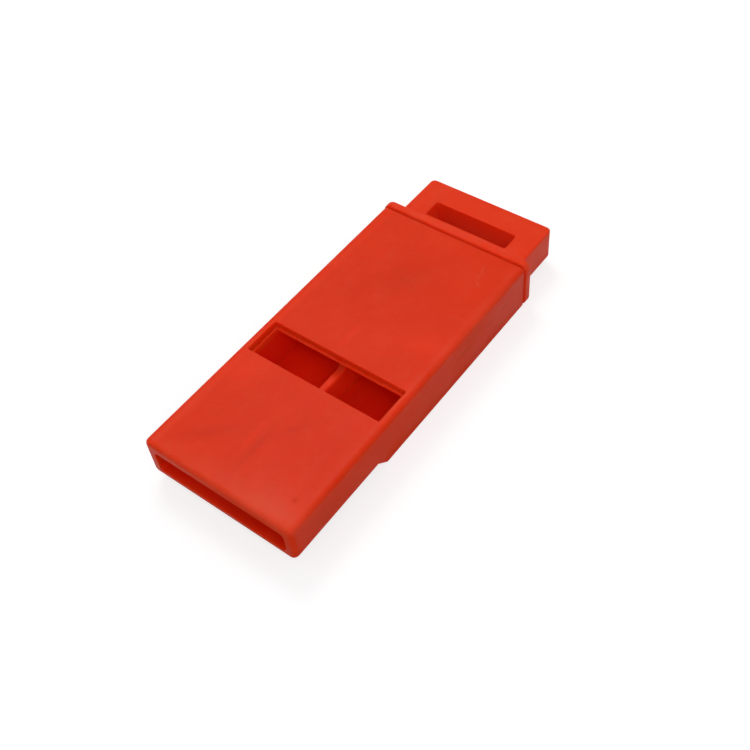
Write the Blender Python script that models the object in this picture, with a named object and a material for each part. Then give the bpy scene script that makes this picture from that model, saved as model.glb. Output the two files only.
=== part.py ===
"""Flat pealess emergency whistle, lying on its underside with its mouth toward -Y.

The whistle is two plastic mouldings. The sleeve is a flat tube: a mouth slot at one end, a step in
the underside behind the mouthpiece, a window across the top, and an open rear end. The insert pushes
into that end: a ramped tongue narrows the breath to a thin windway, a lip meets the air at the far
side of the window, a divider and two cross walls make two chambers of unlike length, and a collar
with a slotted tab closes the tube.
"""

import math

import bmesh
import bpy
from mathutils import Matrix, Vector

MM = 0.001
X, Y, Z = range(3)

# Sleeve
SLEEVE_WIDTH = 22.0 * MM
SLEEVE_LENGTH = 46.3 * MM
SLEEVE_HEIGHT = 7.05 * MM
SLEEVE_WALL = 0.75 * MM
SLEEVE_EDGE = 0.65 * MM
BORE_CORNER = 0.5 * MM
MOUTHPIECE_LENGTH = 15.05 * MM
STEP_RISE = 1.5 * MM
STEP_RUN = 1.65 * MM

# Mouth end of the sleeve and the slot in it
MOUTH_EDGE = 0.65 * MM
MOUTH_LIP = 0.12 * MM
MOUTH_FACE_CORNER = 0.2 * MM
MOUTH_ROOF = 1.5 * MM
MOUTH_FLOOR = 0.75 * MM
MOUTH_SIDE = 1.35 * MM
MOUTH_CORNER = 0.6 * MM

# Window across the sleeve's top
WINDOW_SETBACK = 0.4 * MM
WINDOW_LENGTH = 5.2 * MM
WINDOW_STRIP = 1.05 * MM

# Insert, inside the sleeve
FIT = 0.15 * MM
SNUG_FIT = 0.05 * MM
INSERT_WALL = 0.55 * MM
INSERT_ROOF = 0.65 * MM
FRONT_WALL = 0.55 * MM
CROSS_WALL = 1.0 * MM
END_WALL = 0.9 * MM
DIVIDER = 1.1 * MM
DIVIDER_EDGE = 0.3 * MM
NOTCH_RADIUS = 1.0 * MM
NOTCH_BACK = 0.9 * MM
PLUG_LENGTH = 8.0 * MM
CHAMBER_DIFFERENCE = 3.0 * MM
WINDWAY = 1.25 * MM
TONGUE_REACH = 11.0 * MM
TONGUE_RAMP = 7.5 * MM
TONGUE_TIP = 0.4 * MM
TONGUE_SKIN = 0.9 * MM
LIP_OVERHANG = 0.35 * MM
LIP_EDGE = 0.25 * MM
LIP_BEVEL = 2.0 * MM

# Insert, behind the sleeve
COLLAR_THICKNESS = 1.15 * MM
COLLAR_SIDE = 0.25 * MM
COLLAR_TOP = 0.35 * MM
COLLAR_CORNER = 1.3 * MM
COLLAR_EDGE = 0.25 * MM
TAB_LENGTH = 8.05 * MM
TAB_SHOULDER = 1.75 * MM
TAB_DROP = 1.25 * MM
TAB_RISE = 1.2 * MM
TAB_CORNER = 0.7 * MM
TAB_EDGE = 0.2 * MM
SLOT_SETBACK = 1.65 * MM
SLOT_LENGTH = 2.75 * MM
SLOT_BAR = 3.25 * MM
SLOT_CORNER = 0.3 * MM

# Rim rounding, how near a point of a face lies to it, and how far a cut runs past a face
RIM = 0.12 * MM
TOUCH = RIM / 4
PAST = 0.4 * MM
CORNER_STEPS = 5
EDGE_STEPS = 4
RIM_STEPS = 2
RAMP_STEPS = 12
SHARP_ANGLE = math.radians(35)

# Stations along the whistle, with the middle of its length at zero
COLLAR_OFFSET = SLEEVE_LENGTH + FIT
TAB_OFFSET = COLLAR_OFFSET + COLLAR_THICKNESS
OVERALL_LENGTH = TAB_OFFSET + TAB_LENGTH
MOUTH_Y = -OVERALL_LENGTH / 2
SLEEVE_END_Y = MOUTH_Y + SLEEVE_LENGTH
STEP_Y = MOUTH_Y + MOUTHPIECE_LENGTH
WINDOW_Y = STEP_Y + STEP_RUN + WINDOW_SETBACK
WINDOW_END_Y = WINDOW_Y + WINDOW_LENGTH
LIP_Y = WINDOW_END_Y - LIP_OVERHANG
TRAY_Y = WINDOW_Y + FIT
CHAMBER_Y = TRAY_Y + FRONT_WALL
COLLAR_Y = MOUTH_Y + COLLAR_OFFSET
TAB_Y = MOUTH_Y + TAB_OFFSET
TAB_END_Y = TAB_Y + TAB_LENGTH
LONG_CHAMBER_Y = COLLAR_Y - PLUG_LENGTH
SHORT_CHAMBER_Y = LONG_CHAMBER_Y - CHAMBER_DIFFERENCE
TONGUE_Y = TRAY_Y - TONGUE_REACH
RAMP_END_Y = TONGUE_Y + TONGUE_RAMP

# Heights above the surface that the whistle lies on
MOUTHPIECE_Z = STEP_RISE
MOUTH_FLOOR_Z = MOUTHPIECE_Z + MOUTH_FLOOR
MOUTH_ROOF_Z = SLEEVE_HEIGHT - MOUTH_ROOF
BORE_FLOOR_Z = SLEEVE_WALL
BORE_ROOF_Z = SLEEVE_HEIGHT - SLEEVE_WALL
TRAY_FLOOR_Z = BORE_FLOOR_Z + SNUG_FIT
TRAY_TOP_Z = BORE_ROOF_Z - SNUG_FIT
CHAMBER_ROOF_Z = TRAY_TOP_Z - INSERT_ROOF
LIP_UNDER_Z = TRAY_TOP_Z - LIP_EDGE
WINDWAY_Z = MOUTH_ROOF_Z - WINDWAY
TONGUE_FLOOR_Z = MOUTH_FLOOR_Z + FIT
COLLAR_TOP_Z = SLEEVE_HEIGHT + COLLAR_TOP
TAB_TOP_Z = SLEEVE_HEIGHT - TAB_DROP
TAB_FLOOR_Z = TAB_RISE

# Half widths
SLEEVE_HALF = SLEEVE_WIDTH / 2
MOUTH_HALF = SLEEVE_HALF - MOUTH_SIDE
WINDOW_HALF = SLEEVE_HALF - WINDOW_STRIP
BORE_HALF = SLEEVE_HALF - SLEEVE_WALL
TRAY_HALF = BORE_HALF - FIT
CHAMBER_HALF = TRAY_HALF - INSERT_WALL
TONGUE_HALF = MOUTH_HALF - FIT
COLLAR_HALF = SLEEVE_HALF + COLLAR_SIDE
TAB_HALF = COLLAR_HALF - TAB_SHOULDER
SLOT_HALF = TAB_HALF - SLOT_BAR

SLEEVE_COLOUR = (0.665, 0.045, 0.018, 1.0)
INSERT_COLOUR = (0.760, 0.045, 0.018, 1.0)
ROUGHNESS = 0.38


def remove_old_objects():
    """Start from an empty scene."""
    for old in list(bpy.data.objects):
        bpy.data.objects.remove(old, do_unlink=True)


def quarter_turn(steps):
    """Angles from zero to a right angle."""
    return [math.pi / 2 * step / steps for step in range(steps + 1)]


def end_rounding(radius, steps):
    """Distance from an end face and inset of the section, along a quarter circle to that face."""
    return [(radius - radius * math.sin(angle), radius - radius * math.cos(angle))
            for angle in quarter_turn(steps)]


def rounded_rectangle(low, high, radius):
    """Points of a rectangle between two corners, with round corners, in counterclockwise order."""
    centres = [(high[0] - radius, high[1] - radius), (low[0] + radius, high[1] - radius),
               (low[0] + radius, low[1] + radius), (high[0] - radius, low[1] + radius)]
    points = []
    for turn, (centre_u, centre_v) in enumerate(centres):
        for angle in quarter_turn(CORNER_STEPS):
            heading = angle + turn * math.pi / 2
            points.append((centre_u + radius * math.cos(heading), centre_v + radius * math.sin(heading)))
    return points


def at_station(axis, station, point):
    """A point of a plane outline set at a station along the axis that crosses the plane."""
    across = [i for i in (X, Y, Z) if i != axis]
    place = [0.0, 0.0, 0.0]
    place[axis] = station
    place[across[0]] = point[0]
    place[across[1]] = point[1]
    return place


def solid(name, form):
    """Make an object from a closed mesh, with its faces pointing out."""
    bmesh.ops.recalc_face_normals(form, faces=form.faces)
    mesh = bpy.data.meshes.new(name)
    form.to_mesh(mesh)
    form.free()
    made = bpy.data.objects.new(name, mesh)
    bpy.context.collection.objects.link(made)
    return made


def loft(name, axis, sections):
    """Solid through sections, each a station along the axis and an outline with as many points."""
    form = bmesh.new()
    rings = []
    for station, outline in sections:
        rings.append([form.verts.new(at_station(axis, station, point)) for point in outline])
    for ring, following in zip(rings, rings[1:]):
        for i in range(len(ring)):
            form.faces.new((ring[i - 1], ring[i], following[i], following[i - 1]))
    form.faces.new(rings[0])
    form.faces.new(rings[-1])
    return solid(name, form)


def prism(name, axis, low, high, outline):
    """Solid with one outline all along the axis."""
    return loft(name, axis, [(low, outline), (high, outline)])


def bar(name, axis, low, high, corner_a, corner_b, radius):
    """Bar with a rounded rectangle for its section."""
    return prism(name, axis, low, high, rounded_rectangle(corner_a, corner_b, radius))


def inset_section(corner_a, corner_b, radius, inset):
    """A rounded rectangle drawn in on all sides."""
    return rounded_rectangle((corner_a[0] + inset, corner_a[1] + inset),
                             (corner_b[0] - inset, corner_b[1] - inset), radius - inset)


def cushioned_bar(name, axis, low, high, corner_a, corner_b, radius, edge):
    """Bar with a rounded rectangle for its section and round edges at both ends."""
    ends = end_rounding(edge, EDGE_STEPS)
    sections = [(low + depth, inset_section(corner_a, corner_b, radius, inset))
                for depth, inset in reversed(ends)]
    sections += [(high - depth, inset_section(corner_a, corner_b, radius, inset)) for depth, inset in ends]
    return loft(name, axis, sections)


def combine(body, tool, operation):
    """Cut a tool from a body, or join it on, and remove the tool."""
    step = body.modifiers.new(operation, "BOOLEAN")
    step.operation = operation
    step.solver = "EXACT"
    step.object = tool
    graph = bpy.context.evaluated_depsgraph_get()
    old_mesh = body.data
    new_mesh = bpy.data.meshes.new_from_object(body.evaluated_get(graph))
    body.modifiers.clear()
    body.data = new_mesh
    bpy.data.meshes.remove(old_mesh)
    bpy.data.objects.remove(tool, do_unlink=True)


def cut(body, tool):
    combine(body, tool, "DIFFERENCE")


def join(body, tool):
    combine(body, tool, "UNION")


def round_edges(body, radius, chosen):
    """Round the sharp edges whose two ends are both chosen."""
    form = bmesh.new()
    form.from_mesh(body.data)
    edges = [edge for edge in form.edges
             if edge.calc_face_angle(0.0) > SHARP_ANGLE and all(chosen(v.co) for v in edge.verts)]
    bmesh.ops.bevel(form, geom=edges, offset=radius, offset_type="OFFSET", segments=RIM_STEPS,
                    profile=0.5, affect="EDGES")
    form.to_mesh(body.data)
    form.free()


def near(value, target):
    return abs(value - target) < TOUCH


def finish(body, colour, origin):
    """Shade a body, give it its plastic and put its origin where it belongs."""
    body.data.transform(Matrix.Translation(-Vector(origin)))
    body.location = origin
    body.data.shade_smooth()
    body.data.set_sharp_from_angle(angle=SHARP_ANGLE)
    plastic = bpy.data.materials.new(body.name + "_plastic")
    plastic.use_nodes = True
    shader = plastic.node_tree.nodes["Principled BSDF"]
    shader.inputs["Base Color"].default_value = colour
    shader.inputs["Roughness"].default_value = ROUGHNESS
    shader.inputs["Metallic"].default_value = 0.0
    body.data.materials.clear()
    body.data.materials.append(plastic)


def mouth_section(inset):
    """The mouthpiece's section near its end: drawn in at the top and sides, and less at the lower lip."""
    share = inset / MOUTH_EDGE
    corner = SLEEVE_EDGE + (MOUTH_FACE_CORNER - SLEEVE_EDGE) * share
    return rounded_rectangle((inset - SLEEVE_HALF, MOUTHPIECE_Z + MOUTH_LIP * share),
                             (SLEEVE_HALF - inset, SLEEVE_HEIGHT - inset), corner)


def sleeve_outside():
    """The tube's outer form: rounded long edges, a rounded mouth end and a step in the underside."""
    sections = [(MOUTH_Y + depth, mouth_section(inset))
                for depth, inset in reversed(end_rounding(MOUTH_EDGE, EDGE_STEPS))]
    body = rounded_rectangle((-SLEEVE_HALF, 0.0), (SLEEVE_HALF, SLEEVE_HEIGHT), SLEEVE_EDGE)
    sections.append((STEP_Y, mouth_section(0.0)))
    sections.append((STEP_Y + STEP_RUN, body))
    sections.append((SLEEVE_END_Y, body))
    return loft("sleeve", Y, sections)


def make_sleeve():
    sleeve = sleeve_outside()
    cut(sleeve, bar("bore", Y, WINDOW_Y, SLEEVE_END_Y + PAST,
                    (-BORE_HALF, BORE_FLOOR_Z), (BORE_HALF, BORE_ROOF_Z), BORE_CORNER))
    cut(sleeve, bar("mouth_slot", Y, MOUTH_Y - PAST, WINDOW_Y + PAST,
                    (-MOUTH_HALF, MOUTH_FLOOR_Z), (MOUTH_HALF, MOUTH_ROOF_Z), MOUTH_CORNER))
    cut(sleeve, bar("window", Z, MOUTH_ROOF_Z - PAST, SLEEVE_HEIGHT + PAST,
                    (-WINDOW_HALF, WINDOW_Y), (WINDOW_HALF, WINDOW_END_Y), RIM))

    def on_window_rim(point):
        along = WINDOW_Y - TOUCH < point.y < WINDOW_END_Y + TOUCH
        return near(point.z, SLEEVE_HEIGHT) and along and abs(point.x) < WINDOW_HALF + TOUCH

    def on_mouth_rim(point):
        within = MOUTH_FLOOR_Z - TOUCH < point.z < MOUTH_ROOF_Z + TOUCH
        return near(point.y, MOUTH_Y) and within and abs(point.x) < MOUTH_HALF + TOUCH

    round_edges(sleeve, RIM, on_window_rim)
    round_edges(sleeve, RIM, on_mouth_rim)
    finish(sleeve, SLEEVE_COLOUR, (0.0, 0.0, 0.0))


def tray():
    """The insert's inner part: walls and a roof round one long hollow that is open below."""
    shell = bar("insert", Y, TRAY_Y, COLLAR_Y + COLLAR_THICKNESS / 2,
                (-TRAY_HALF, TRAY_FLOOR_Z), (TRAY_HALF, TRAY_TOP_Z), BORE_CORNER - FIT)
    hollow = [(CHAMBER_Y, TRAY_FLOOR_Z - PAST), (COLLAR_Y - END_WALL, TRAY_FLOOR_Z - PAST),
              (COLLAR_Y - END_WALL, CHAMBER_ROOF_Z), (LIP_Y + LIP_BEVEL, CHAMBER_ROOF_Z),
              (LIP_Y, LIP_UNDER_Z), (CHAMBER_Y, LIP_UNDER_Z)]
    cut(shell, prism("hollow", X, -CHAMBER_HALF, CHAMBER_HALF, hollow))
    return shell


def ramp_top():
    """Points of the tongue's top, a smooth rise from its tip to the windway's floor."""
    low = TONGUE_FLOOR_Z + TONGUE_TIP
    points = []
    for step in range(RAMP_STEPS + 1):
        share = step / RAMP_STEPS
        smooth = share * share * (3 - 2 * share)
        points.append((TONGUE_Y + TONGUE_RAMP * share, low + (WINDWAY_Z - low) * smooth))
    return points


def tongue():
    """The ramp that runs forward into the mouthpiece, cored out from below between two rails and a rib."""
    block = bar("tongue", Y, TONGUE_Y, TRAY_Y + FRONT_WALL / 2, (-TONGUE_HALF, TONGUE_FLOOR_Z),
                (TONGUE_HALF, MOUTH_ROOF_Z - FIT), MOUTH_CORNER - FIT)
    core_top = [(along, height - TONGUE_SKIN) for along, height in ramp_top()
                if height - TONGUE_SKIN > TONGUE_FLOOR_Z]
    core = [(core_top[0][0], TONGUE_FLOOR_Z - PAST)] + core_top
    core += [(TRAY_Y, WINDWAY_Z - TONGUE_SKIN), (TRAY_Y, TONGUE_FLOOR_Z - PAST)]
    for side in (-1, 1):
        ends = sorted((side * DIVIDER / 2, side * (TONGUE_HALF - TONGUE_SKIN)))
        cut(block, prism("core", X, ends[0], ends[1], core))
    return block


def airway():
    """What the breath passes over: the tongue's top, then level across the window to the lip."""
    above = SLEEVE_HEIGHT
    outline = [(TONGUE_Y - PAST, above), (TONGUE_Y - PAST, TONGUE_FLOOR_Z + TONGUE_TIP)] + ramp_top()
    outline += [(LIP_Y, WINDWAY_Z), (LIP_Y, above)]
    return prism("airway", X, -CHAMBER_HALF, CHAMBER_HALF, outline)


def divider_outline(inset):
    """The divider seen from the side: level in the window, rising to the roof behind the lip, and drawn in."""
    back = LIP_Y + NOTCH_BACK
    front = CHAMBER_Y - FRONT_WALL / 2
    radius = NOTCH_RADIUS + inset
    outline = [(front, TRAY_FLOOR_Z), (front, WINDWAY_Z - inset)]
    for angle in quarter_turn(CORNER_STEPS):
        outline.append((back - NOTCH_RADIUS + radius * math.sin(angle),
                        WINDWAY_Z + NOTCH_RADIUS - radius * math.cos(angle)))
    outline += [(back + inset, CHAMBER_ROOF_Z + INSERT_ROOF / 2),
                (COLLAR_Y, CHAMBER_ROOF_Z + INSERT_ROOF / 2), (COLLAR_Y, TRAY_FLOOR_Z)]
    return outline


def divider():
    """The plate between the chambers, with round edges along its top."""
    half = DIVIDER / 2
    ends = end_rounding(DIVIDER_EDGE, EDGE_STEPS)
    sections = [(depth - half, divider_outline(inset)) for depth, inset in reversed(ends)]
    sections += [(half - depth, divider_outline(inset)) for depth, inset in ends]
    return loft("divider", X, sections)


def cross_wall(side, chamber_end):
    """The wall that closes one chamber, on one side of the divider."""
    reach = CHAMBER_HALF + INSERT_WALL / 2
    inner, outer = sorted((0.0, side * reach))
    outline = [(inner, TRAY_FLOOR_Z), (outer, TRAY_FLOOR_Z), (outer, CHAMBER_ROOF_Z + INSERT_ROOF / 2),
               (inner, CHAMBER_ROOF_Z + INSERT_ROOF / 2)]
    return prism("cross_wall", Y, chamber_end, chamber_end + CROSS_WALL, outline)


def make_insert():
    insert = tray()
    join(insert, tongue())
    cut(insert, airway())
    join(insert, divider())
    join(insert, cross_wall(-1, LONG_CHAMBER_Y))
    join(insert, cross_wall(1, SHORT_CHAMBER_Y))
    join(insert, cushioned_bar("collar", Y, COLLAR_Y, TAB_Y, (-COLLAR_HALF, 0.0),
                               (COLLAR_HALF, COLLAR_TOP_Z), COLLAR_CORNER, COLLAR_EDGE))
    join(insert, cushioned_bar("tab", Z, TAB_FLOOR_Z, TAB_TOP_Z, (-TAB_HALF, COLLAR_Y + COLLAR_EDGE),
                               (TAB_HALF, TAB_END_Y), TAB_CORNER, TAB_EDGE))
    slot_front = TAB_Y + SLOT_SETBACK
    cut(insert, bar("lanyard_slot", Z, -PAST, COLLAR_TOP_Z + PAST, (-SLOT_HALF, slot_front),
                    (SLOT_HALF, slot_front + SLOT_LENGTH), SLOT_CORNER))

    def on_slot_rim(point):
        at_face = near(point.z, TAB_TOP_Z) or near(point.z, TAB_FLOOR_Z)
        along = slot_front - TOUCH < point.y < slot_front + SLOT_LENGTH + TOUCH
        return at_face and along and abs(point.x) < SLOT_HALF + TOUCH

    round_edges(insert, RIM, on_slot_rim)
    finish(insert, INSERT_COLOUR, (0.0, COLLAR_Y, SLEEVE_HEIGHT / 2))


remove_old_objects()
make_sleeve()
make_insert()
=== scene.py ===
"""Looks of the flat pealess emergency whistle: camera, moulded plastic, floor and studio light."""

import math

import bpy
from mathutils import Matrix, Vector


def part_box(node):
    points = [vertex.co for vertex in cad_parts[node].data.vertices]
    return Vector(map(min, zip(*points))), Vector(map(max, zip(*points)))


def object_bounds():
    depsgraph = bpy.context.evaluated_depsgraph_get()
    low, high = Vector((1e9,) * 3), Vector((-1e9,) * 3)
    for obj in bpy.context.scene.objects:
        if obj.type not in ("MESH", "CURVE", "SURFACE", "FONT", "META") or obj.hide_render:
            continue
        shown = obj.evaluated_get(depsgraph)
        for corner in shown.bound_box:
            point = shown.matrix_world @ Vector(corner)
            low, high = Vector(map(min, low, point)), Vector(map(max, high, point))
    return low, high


MM = 0.001
WHITE = (1.0, 1.0, 1.0, 1.0)
OFF_TO_ON = (0.0, 1.0)
ON_TO_OFF = (1.0, 0.0)

# Camera: where it stands round the aim point, and the pixel of the photograph where that point lies
IMAGE_SIZE = 750
SENSOR_WIDTH = 36.0
LENS = 50.057
AZIMUTH = math.radians(42.254)
ELEVATION = math.radians(50.755)
ROLL = math.radians(-6.928)
DISTANCE = 125.831 * MM
AIM_FROM_MOUTH = 25.0 * MM
AIM_PIXEL = (351.75, 340.20)
CLIP_FACTOR = 100

# Shading of the facets: least angle of a crisp edge, most bend within a flat, weld, and weight of flats
SHARP_ANGLE = math.radians(32)
FLAT_ANGLE = math.radians(0.5)
WELD = 0.001 * MM
FLATS_WEIGHT = 100

# Plastic: its two shades, the pale tone of scratches and painted sheen, the painted shade of hollows, its
# gloss, and how far light soaks in
SLEEVE_COLOUR = (0.85, 0.041, 0.005)
INSERT_COLOUR = (0.92, 0.049, 0.0085)
PALE_WEAR_AND_SHEEN = (0.95, 0.17, 0.085, 1.0)
PAINTED_HOLLOW_SHADE = (1.0, 0.42, 0.42, 1.0)
SPECULAR = 0.045
SCATTER = 1.0
SCATTER_RADIUS = (1.0, 0.12, 0.05)
SCATTER_DEPTH = 0.5 * MM

# Base tone and wear, and the clouds in them: size in millimetres, stretch along the whistle, and depth
NOISE_MIDDLE = 0.5
TONE = 1.0
TONE_CLOUDS = ((7.0, 1.0, 0.10), (2.6, 2.5, 0.05), (0.9, 1.0, 0.025))
WEAR = 0.010
WEAR_CLOUDS = ((3.2, 1.5, 0.18), (0.8, 1.0, 0.12))

# Satin surface: its least and most roughness, and the clouds' size, stretch and swing from one to the other
SATIN = (0.30, 0.42)
SATIN_SIZE = 3.0
SATIN_STRETCH = 1.5
SATIN_SWING = (-0.25, 0.25)

# Relief of the surface: slow waves and fine grain, with sizes in millimetres and no stretch
WAVE_SIZE = 6.0
WAVE_DEPTH = 0.05 * MM
GRAIN_SIZE = 0.45
GRAIN_DEPTH = 0.004 * MM
EVEN = 1.0

# Hollows with painted shade, a deeper red: the middle's millimetres from centre line, mouth and top, and
# half sizes
CHAMBER = ((5.3, 28.1, 4.1), (4.2, 10.3, 2.1))
MOUTH = ((0.0, 9.4, 3.15), (9.5, 8.6, 1.5))
SLEEVE_SHADED_HOLLOWS = (CHAMBER, MOUTH)
INSERT_SHADED_HOLLOWS = (CHAMBER,)
HOLLOW_FADE = 0.8

# Marks on the sleeve's tone, painted shading and highlights besides one real speck: middle and half sizes
# in millimetres, turn in degrees, and strength
SLEEVE_PAINTED_SHADING_AND_SPECK = (
    ((-5.5, 5.0, 0.0), (2.0, 7.0, 1.0), -45.0, -0.10),  # painted shade of a slanting sink at the mouthpiece's left
    ((0.5, 6.5, 0.0), (1.0, 7.0, 1.0), 0.0, -0.12),  # painted shade of a ripple down the mouthpiece's middle
    ((2.6, 10.8, 0.0), (1.4, 5.0, 1.0), -35.0, -0.07),  # fainter painted shade of a ripple that slants to the right
    ((-0.8, 7.5, 0.0), (0.7, 6.5, 1.0), 0.0, 0.07),  # painted highlight beside the dark one
    ((-8.0, 14.5, 0.0), (5.0, 6.5, 1.0), -30.0, 0.12),  # painted light on a patch at the left, in front of the window
    ((-0.7, 25.5, 0.0), (1.0, 4.2, 1.0), 0.0, 0.08),  # painted highlight on a line behind the window's middle
    ((7.0, 28.5, 0.0), (4.5, 12.0, 1.0), -68.0, 0.08),  # painted light on a band at the right, behind the window
    ((-1.0, 36.0, 0.0), (7.0, 12.0, 1.0), -40.0, -0.07),  # painted shade on a broad patch in front of the collar
    ((8.7, 3.6, 0.0), (0.8, 0.8, 0.5), 0.0, -0.15),  # dark speck near the mouth
    ((11.0, 32.6, -2.6), (0.5, 2.6, 0.50), 0.0, -0.17),  # painted shade of the first of three dents in the right side
    ((11.0, 38.5, -2.7), (0.5, 1.9, 0.45), 0.0, -0.14),  # painted shade of the second dent
    ((11.0, 41.8, -2.6), (0.5, 2.3, 0.45), 0.0, -0.15),  # painted shade of the third dent
    ((-11.0, 26.0, -0.3), (0.9, 60.0, 0.9), 0.0, -0.12),  # painted shade along the left edge
    ((-10.0, 23.0, 0.0), (1.3, 90.0, 1.0), 0.0, 0.10),  # painted light on a strip beside that edge
    ((2.0, 1.5, -4.8), (14.0, 5.0, 1.5), 0.0, -0.16),  # painted shade on the floor of the mouth
    ((11.0, 5.0, -3.5), (0.8, 10.0, 3.5), 0.0, -0.07),  # painted shade on the right side of the mouthpiece
    ((2.0, 22.2, -6.3), (3.5, 6.0, 1.5), 0.0, -0.14),  # painted shadow of the divider on the chamber floor
    ((6.8, 22.2, -6.3), (3.0, 6.0, 1.5), 0.0, 0.12),  # painted light on the chamber floor at the right
    ((-5.5, 21.5, -6.3), (6.0, 7.0, 1.5), 0.0, 0.12),  # painted light on the chamber floor at the left
)

# Pale marks on the sleeve, in the same form: a scratch and less wear on the speck, the rest painted sheen
# and highlights
SLEEVE_SCRATCH_AND_PAINTED_SHEEN = (
    ((6.6, 43.5, 0.0), (0.28, 1.5, 0.5), 21.0, 0.25),  # first stroke of a fine scratch
    ((6.9, 42.1, 0.0), (0.28, 1.2, 0.5), 4.0, 0.17),  # second stroke
    ((7.5, 41.0, 0.0), (0.28, 1.3, 0.5), 52.0, 0.28),  # third stroke
    ((8.5, 1.5, 0.0), (5.5, 5.0, 1.5), 0.0, 0.18),  # painted sheen on the right corner of the mouth
    ((5.5, 1.5, 0.0), (12.0, 9.0, 1.5), 0.0, 0.18),  # wider painted sheen round that corner
    ((2.0, 0.6, 0.0), (30.0, 3.6, 1.5), 0.0, 0.20),  # painted sheen along the upper edge of the mouth
    ((8.7, 3.6, 0.0), (0.8, 0.8, 0.5), 0.0, -0.15),  # less wear on the dark speck
    ((-10.0, 6.0, 0.0), (1.3, 16.0, 1.0), 0.0, 0.10),  # painted sheen on the left edge of the mouthpiece
    ((10.2, 23.0, 0.0), (1.2, 60.0, 0.8), 0.0, 0.13),  # painted sheen along the whole right edge
    ((-6.0, 0.2, -0.4), (5.0, 1.2, 0.9), 0.0, 0.12),  # painted sheen at the left of the mouth's upper edge
    ((10.9, 36.0, -0.2), (0.7, 20.0, 0.8), 0.0, 0.22),  # stronger painted sheen on the rear stretch of the right edge
    ((11.0, 32.6, -2.1), (0.5, 2.2, 0.35), 0.0, 0.22),  # painted highlight on the rim over the first dent
    ((11.0, 40.0, -2.1), (0.5, 4.0, 0.35), 0.0, 0.22),  # painted highlight on the rim over the other two
)

# Painted shading on the insert's tone
INSERT_PAINTED_SHADING = (
    ((5.0, 53.5, -1.25), (5.0, 2.2, 1.0), 0.0, 0.04),  # painted light on the rear right of the tab
    ((-6.0, 50.0, -1.25), (3.0, 4.0, 1.0), 0.0, -0.05),  # painted shade on the left of the tab
    ((11.25, 47.0, -4.0), (0.8, 1.5, 4.0), 0.0, -0.09),  # painted shade on the right end of the collar
    ((0.0, 22.3, -2.3), (1.5, 2.6, 3.0), 0.0, -0.28),  # painted shadow on the divider's rise behind the lip
)

# Pale marks on the insert, painted sheen and highlights among them
INSERT_PAINTED_SHEEN_AND_PALE_MARKS = (
    ((0.0, 47.2, 0.3), (40.0, 1.5, 1.2), 0.0, 0.09),  # top of the collar
    ((11.25, 47.0, -3.3), (1.0, 2.2, 7.0), 0.0, 0.20),  # painted sheen on the right end of the collar
    ((11.0, 47.1, -0.2), (1.6, 1.6, 1.2), 0.0, 0.12),  # painted highlight on the upper right corner of the collar
    ((3.0, 49.3, -1.25), (9.0, 1.8, 1.0), 0.0, 0.08),  # tab along the slot's front edge
    ((9.5, 52.0, -2.0), (0.6, 2.6, 0.4), 0.0, 0.22),  # painted light on the right side of the tab
)

# Matt places on the sleeve, whose strength adds to the roughness
SLEEVE_MATT = (
    ((6.0, 0.0, -1.0), (24.0, 1.6, 8.0), 0.0, 0.30),  # face of the mouth
    ((0.0, 23.0, -7.05), (80.0, 80.0, 3.0), 0.0, 0.30),  # underside
    ((-11.0, 23.0, -0.2), (0.9, 60.0, 0.9), 0.0, 0.25),  # left edge
    ((11.0, 18.0, -3.8), (1.5, 36.0, 8.0), 0.0, 0.10),  # right side
)

# Matt places on the insert
INSERT_MATT = (
    ((0.0, 51.0, -7.05), (80.0, 80.0, 3.0), 0.0, 0.30),  # underside
)

# Floor: side in metres, finish, shade for bounced light and for the eye, and glow near and far away
FLOOR_SIZE = 2.0
FLOOR_ROUGHNESS = 1.0
FLOOR_SPECULAR = 0.0
FLOOR_SHADE = (0.50, 0.40)
FLOOR_GLOW = (0.72, 0.86)
GLOW_RISE = (0.12, 0.40)

# Light: the sky's strength on the whistle and to the eye, then two soft boxes in metres and watts
SKY_STRENGTH = (0.39, 1.0)
KEY_SIZE = 0.14
KEY_POWER = 0.44
KEY_PLACE = (-0.16, 0.13, 0.34)
FRONT_SIZE = 0.20
FRONT_POWER = 0.42
FRONT_PLACE = (0.23, -0.18, 0.34)

# Red light is passed on many times inside the hollow body before it dies out
DIFFUSE_BOUNCES = 16
MAX_BOUNCES = 24

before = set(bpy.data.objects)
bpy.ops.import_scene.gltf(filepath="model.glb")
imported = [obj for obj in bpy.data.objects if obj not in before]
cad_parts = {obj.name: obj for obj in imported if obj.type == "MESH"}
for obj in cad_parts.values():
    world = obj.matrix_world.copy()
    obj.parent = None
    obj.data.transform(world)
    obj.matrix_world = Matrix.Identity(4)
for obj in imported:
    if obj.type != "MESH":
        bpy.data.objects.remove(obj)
cad_low, cad_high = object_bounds()
sleeve_low, sleeve_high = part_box("sleeve")
mouth_y = sleeve_low.y
top_z = sleeve_high.z


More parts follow.
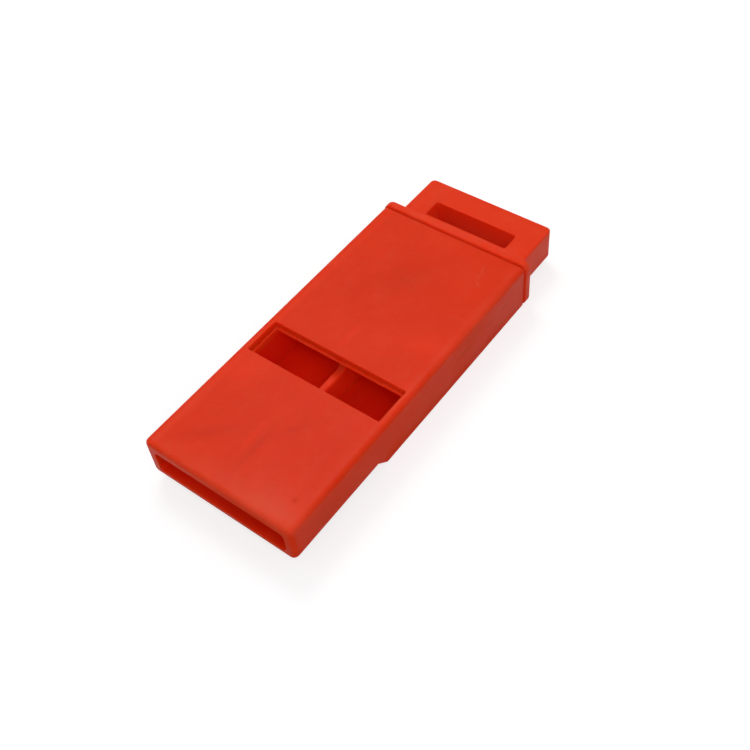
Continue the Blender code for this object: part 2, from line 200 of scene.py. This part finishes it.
def make_camera():
    """The camera at the photograph's viewing angle."""
    back = Vector((math.sin(AZIMUTH) * math.cos(ELEVATION),
                   -math.cos(AZIMUTH) * math.cos(ELEVATION),
                   math.sin(ELEVATION)))
    level = Vector((math.cos(AZIMUTH), math.sin(AZIMUTH), 0.0))
    upright = back.cross(level)
    right = level * math.cos(ROLL) + upright * math.sin(ROLL)
    up = upright * math.cos(ROLL) - level * math.sin(ROLL)
    focal = LENS / SENSOR_WIDTH * IMAGE_SIZE
    centre = (IMAGE_SIZE - 1) / 2
    across = (AIM_PIXEL[0] - centre) / focal
    down = (AIM_PIXEL[1] - centre) / focal
    toward_aim = (right * across - up * down - back).normalized()
    aim = Vector((0.0, mouth_y + AIM_FROM_MOUTH, top_z))
    place = aim - toward_aim * DISTANCE
    turn = Matrix((right, up, back)).transposed().to_4x4()

    data = bpy.data.cameras.new("camera")
    data.lens = LENS
    data.sensor_width = SENSOR_WIDTH
    data.clip_start = DISTANCE / CLIP_FACTOR
    data.clip_end = DISTANCE * CLIP_FACTOR
    camera = bpy.data.objects.new("camera", data)
    camera.matrix_world = Matrix.Translation(place) @ turn
    bpy.context.scene.collection.objects.link(camera)
    bpy.context.scene.camera = camera


def feed(tree, node, inputs):
    """Link a node's inputs to sockets, or set them to plain values."""
    for name, value in inputs.items():
        if isinstance(value, bpy.types.NodeSocket):
            tree.links.new(value, node.inputs[name])
        else:
            node.inputs[name].default_value = value


def add(tree, kind, inputs=None, **settings):
    """A node of one kind, with its properties set and its inputs fed."""
    node = tree.nodes.new(kind)
    for name, value in settings.items():
        setattr(node, name, value)
    feed(tree, node, inputs or {})
    return node


def smooth_group():
    """Joins facets at their shared corners and shades round stretches as curves, with crisp edges kept."""
    group = bpy.data.node_groups.new("smooth_facets", "GeometryNodeTree")
    for direction in ("INPUT", "OUTPUT"):
        group.interface.new_socket("Geometry", in_out=direction, socket_type="NodeSocketGeometry")
    source = add(group, "NodeGroupInput")
    weld = add(group, "GeometryNodeMergeByDistance",
               {"Geometry": source.outputs["Geometry"], "Distance": WELD})
    strip = add(group, "GeometryNodeRemoveAttribute",
                {"Geometry": weld.outputs["Geometry"], "Name": "custom_normal"})
    smooth = add(group, "GeometryNodeSetShadeSmooth",
                 {"Geometry": strip.outputs["Geometry"], "Shade Smooth": True}, domain="FACE")
    angle = add(group, "GeometryNodeInputMeshEdgeAngle")
    blunt = add(group, "FunctionNodeCompare", {"A": angle.outputs["Unsigned Angle"], "B": SHARP_ANGLE},
                data_type="FLOAT", operation="LESS_THAN")
    crisp = add(group, "GeometryNodeSetShadeSmooth",
                {"Geometry": smooth.outputs["Geometry"], "Shade Smooth": blunt.outputs["Result"]},
                domain="EDGE")
    add(group, "NodeGroupOutput", {"Geometry": crisp.outputs["Geometry"]})
    return group


def smooth_facets(piece, group):
    """Shade a piece's fillets as curves and its flats as flats."""
    piece.modifiers.new("smooth_facets", "NODES").node_group = group
    flats = piece.modifiers.new("whole_flats", "DECIMATE")
    flats.decimate_type = "DISSOLVE"
    flats.angle_limit = FLAT_ANGLE
    weigh = piece.modifiers.new("flat_faces_lead", "WEIGHTED_NORMAL")
    weigh.keep_sharp = True
    weigh.weight = FLATS_WEIGHT


def calculate(tree, operation, *terms):
    """The result of a sum on numbers, each a socket or a plain value."""
    return add(tree, "ShaderNodeMath", dict(enumerate(terms)), operation=operation).outputs["Value"]


def vector(tree, operation, *terms):
    """The result of a sum on vectors, each a socket or three plain values."""
    return add(tree, "ShaderNodeVectorMath", dict(enumerate(terms)), operation=operation).outputs["Vector"]


def scaled(tree, base, factor):
    """A vector or colour times a number."""
    node = add(tree, "ShaderNodeVectorMath", {0: base, "Scale": factor}, operation="SCALE")
    return node.outputs["Vector"]


def remap(tree, value, old, new):
    """A value carried over from one range to another and held inside it."""
    node = add(tree, "ShaderNodeMapRange", {"Value": value, "From Min": old[0], "From Max": old[1],
                                            "To Min": new[0], "To Max": new[1]})
    return node.outputs["Result"]


def mixed(tree, factor, under, over, blend_type="MIX"):
    """One colour laid over another, as far as a factor says."""
    node = add(tree, "ShaderNodeMix", {"Factor": factor, "A": under, "B": over},
               data_type="RGBA", blend_type=blend_type)
    return node.outputs["Result"]


def millimetres(tree):
    """Places on a piece in millimetres: right of the centre line, behind the mouth and above the top."""
    place = add(tree, "ShaderNodeTexCoord").outputs["Object"]
    return scaled(tree, vector(tree, "SUBTRACT", place, (0.0, mouth_y, top_z)), 1 / MM)


def cloud(tree, place, size, stretch):
    """Soft noise between about minus and plus a half, drawn out along the whistle."""
    squeeze = add(tree, "ShaderNodeMapping",
                  {"Vector": place, "Scale": (1 / size, 1 / (size * stretch), 1 / size)})
    noise = add(tree, "ShaderNodeTexNoise", {"Vector": squeeze.outputs["Vector"], "Scale": 1.0})
    return calculate(tree, "SUBTRACT", noise.outputs["Fac"], NOISE_MIDDLE)


def clouded(tree, place, base, clouds):
    """A value with several clouds added to it, each with its size, stretch and depth."""
    for size, stretch, depth in clouds:
        patch = calculate(tree, "MULTIPLY", cloud(tree, place, size, stretch), depth)
        base = calculate(tree, "ADD", base, patch)
    return base


def blot(tree, place, middle, half, turn):
    """An oval mark that fades from one in its middle to zero at its rim."""
    about_z = (0.0, 0.0, math.radians(turn))
    put = add(tree, "ShaderNodeMapping",
              {"Vector": place, "Location": middle, "Rotation": about_z, "Scale": half},
              vector_type="TEXTURE")
    fade = add(tree, "ShaderNodeTexGradient", {"Vector": put.outputs["Vector"]},
               gradient_type="QUADRATIC_SPHERE")
    return fade.outputs["Fac"]


def marked(tree, place, base, marks):
    """A value with several marks added to it, each an oval with its strength."""
    for middle, half, turn, strength in marks:
        mark = calculate(tree, "MULTIPLY", blot(tree, place, middle, half, turn), strength)
        base = calculate(tree, "ADD", base, mark)
    return base


def past_box(tree, place, box):
    """How far a place lies outside a box, which has a middle and half sizes, and below zero inside it."""
    middle, half = box
    reach = vector(tree, "ABSOLUTE", vector(tree, "SUBTRACT", place, middle))
    past = add(tree, "ShaderNodeSeparateXYZ", {"Vector": vector(tree, "SUBTRACT", reach, half)})
    level = calculate(tree, "MAXIMUM", past.outputs["X"], past.outputs["Y"])
    return calculate(tree, "MAXIMUM", level, past.outputs["Z"])


def painted_hollow_shade_mask(tree, place, shaded_hollows):
    """Where painted shade goes: one inside a piece's hollows, which are alike on both sides, fading to zero
    just outside them.
    """
    folded = vector(tree, "ABSOLUTE", place)
    nearest = past_box(tree, folded, shaded_hollows[0])
    for box in shaded_hollows[1:]:
        nearest = calculate(tree, "MINIMUM", nearest, past_box(tree, folded, box))
    return remap(tree, nearest, (0.0, HOLLOW_FADE), ON_TO_OFF)


def tint(tree, place, colour, shaded_hollows, painted_shading_and_specks, scuffs_and_painted_sheen):
    """The plastic's colour: cloudy tone, painted shading and a speck, pale scratches and painted sheen, and
    painted shade in the hollows.
    """
    # painted shading and highlights, and a speck, added to the tone
    tone_with_painted_shading = clouded(tree, place, marked(tree, place, TONE, painted_shading_and_specks), TONE_CLOUDS)
    wear_and_painted_sheen = clouded(tree, place, marked(tree, place, WEAR, scuffs_and_painted_sheen), WEAR_CLOUDS)
    # pale wear and painted sheen laid over the tone
    worn_and_painted_sheen = mixed(tree, wear_and_painted_sheen, scaled(tree, colour, tone_with_painted_shading), PALE_WEAR_AND_SHEEN)
    # painted shade: the hollows are multiplied toward a deeper red
    return mixed(tree, painted_hollow_shade_mask(tree, place, shaded_hollows), worn_and_painted_sheen, PAINTED_HOLLOW_SHADE, blend_type="MULTIPLY")


def satin(tree, place, matt):
    """The plastic's roughness: cloudy satin with matt places."""
    clouds = cloud(tree, place, SATIN_SIZE, SATIN_STRETCH)
    return marked(tree, place, remap(tree, clouds, SATIN_SWING, SATIN), matt)


def relief(tree, place):
    """The plastic's surface: slow waves, and a fine grain on them."""
    waves = add(tree, "ShaderNodeBump",
                {"Height": cloud(tree, place, WAVE_SIZE, EVEN), "Distance": WAVE_DEPTH})
    grain = add(tree, "ShaderNodeBump",
                {"Height": cloud(tree, place, GRAIN_SIZE, EVEN), "Distance": GRAIN_DEPTH,
                 "Normal": waves.outputs["Normal"]})
    return grain.outputs["Normal"]


def plastic(name, colour, shaded_hollows, painted_shading_and_specks, scuffs_and_painted_sheen, matt):
    """Satin moulded plastic that red light soaks into."""
    material = bpy.data.materials.new(name)
    material.use_nodes = True
    tree = material.node_tree
    place = millimetres(tree)
    feed(tree, tree.nodes["Principled BSDF"], {
        "Base Color": tint(tree, place, colour, shaded_hollows, painted_shading_and_specks, scuffs_and_painted_sheen),
        "Roughness": satin(tree, place, matt),
        "Normal": relief(tree, place),
        "Specular IOR Level": SPECULAR,
        "Subsurface Weight": SCATTER,
        "Subsurface Radius": SCATTER_RADIUS,
        "Subsurface Scale": SCATTER_DEPTH,
    })
    return material


def dress(node, material, group):
    """Give a piece its plastic and shade its facets as the curves that they stand for."""
    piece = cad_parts[node]
    piece.data.materials.clear()
    piece.data.materials.append(material)
    smooth_facets(piece, group)


def background_rays(tree):
    """One for rays that see the background straight, mirrored or through glass, and zero for others."""
    path = add(tree, "ShaderNodeLightPath")
    seen = path.outputs["Is Camera Ray"]
    for kind in ("Is Glossy Ray", "Is Transmission Ray"):
        seen = calculate(tree, "MAXIMUM", seen, path.outputs[kind])
    return seen


def pale_floor():
    """A matt floor whose glow, which only background rays see, rises toward white far from the whistle."""
    material = bpy.data.materials.new("pale_floor")
    material.use_nodes = True
    tree = material.node_tree
    seen = background_rays(tree)
    place = add(tree, "ShaderNodeTexCoord").outputs["Object"]
    away = add(tree, "ShaderNodeVectorMath", {0: place}, operation="LENGTH").outputs["Value"]
    glow = calculate(tree, "MULTIPLY", seen, remap(tree, away, GLOW_RISE, FLOOR_GLOW))
    feed(tree, tree.nodes["Principled BSDF"], {
        "Base Color": remap(tree, seen, OFF_TO_ON, FLOOR_SHADE),
        "Roughness": FLOOR_ROUGHNESS,
        "Specular IOR Level": FLOOR_SPECULAR,
        "Emission Color": WHITE,
        "Emission Strength": glow,
    })
    return material


def make_floor():
    """A pale floor that fades to white and keeps the whistle's soft shadow."""
    half = FLOOR_SIZE / 2
    mesh = bpy.data.meshes.new("floor")
    corners = [(-half, -half, 0.0), (half, -half, 0.0), (half, half, 0.0), (-half, half, 0.0)]
    mesh.from_pydata(corners, [], [(0, 1, 2, 3)])
    mesh.materials.append(pale_floor())
    floor = bpy.data.objects.new("floor", mesh)
    floor.location.z = cad_low.z
    bpy.context.scene.collection.objects.link(floor)


def make_world():
    """An even studio sky that is white where it is seen."""
    world = bpy.data.worlds.new("studio")
    world.use_nodes = True
    bpy.context.scene.world = world
    tree = world.node_tree
    strength = remap(tree, background_rays(tree), OFF_TO_ON, SKY_STRENGTH)
    feed(tree, tree.nodes["Background"], {"Color": WHITE, "Strength": strength})


def make_lamp(name, place, size, power):
    """A square soft box that faces the whistle."""
    data = bpy.data.lights.new(name, "AREA")
    data.size = size
    data.energy = power
    lamp = bpy.data.objects.new(name, data)
    lamp.location = place
    lamp.rotation_mode = "QUATERNION"
    lamp.rotation_quaternion = Vector(place).to_track_quat("Z", "Y")
    bpy.context.scene.collection.objects.link(lamp)


bpy.context.scene.view_settings.view_transform = "Standard"
bpy.context.scene.cycles.max_bounces = MAX_BOUNCES
bpy.context.scene.cycles.diffuse_bounces = DIFFUSE_BOUNCES
make_camera()
facets = smooth_group()
sleeve_look = plastic("sleeve_plastic_look", SLEEVE_COLOUR, SLEEVE_SHADED_HOLLOWS,
                      SLEEVE_PAINTED_SHADING_AND_SPECK, SLEEVE_SCRATCH_AND_PAINTED_SHEEN, SLEEVE_MATT)
insert_look = plastic("insert_plastic_look", INSERT_COLOUR, INSERT_SHADED_HOLLOWS,
                      INSERT_PAINTED_SHADING, INSERT_PAINTED_SHEEN_AND_PALE_MARKS, INSERT_MATT)
dress("sleeve", sleeve_look, facets)
dress("insert", insert_look, facets)
make_floor()
make_world()
make_lamp("key", KEY_PLACE, KEY_SIZE, KEY_POWER)
make_lamp("front", FRONT_PLACE, FRONT_SIZE, FRONT_POWER)
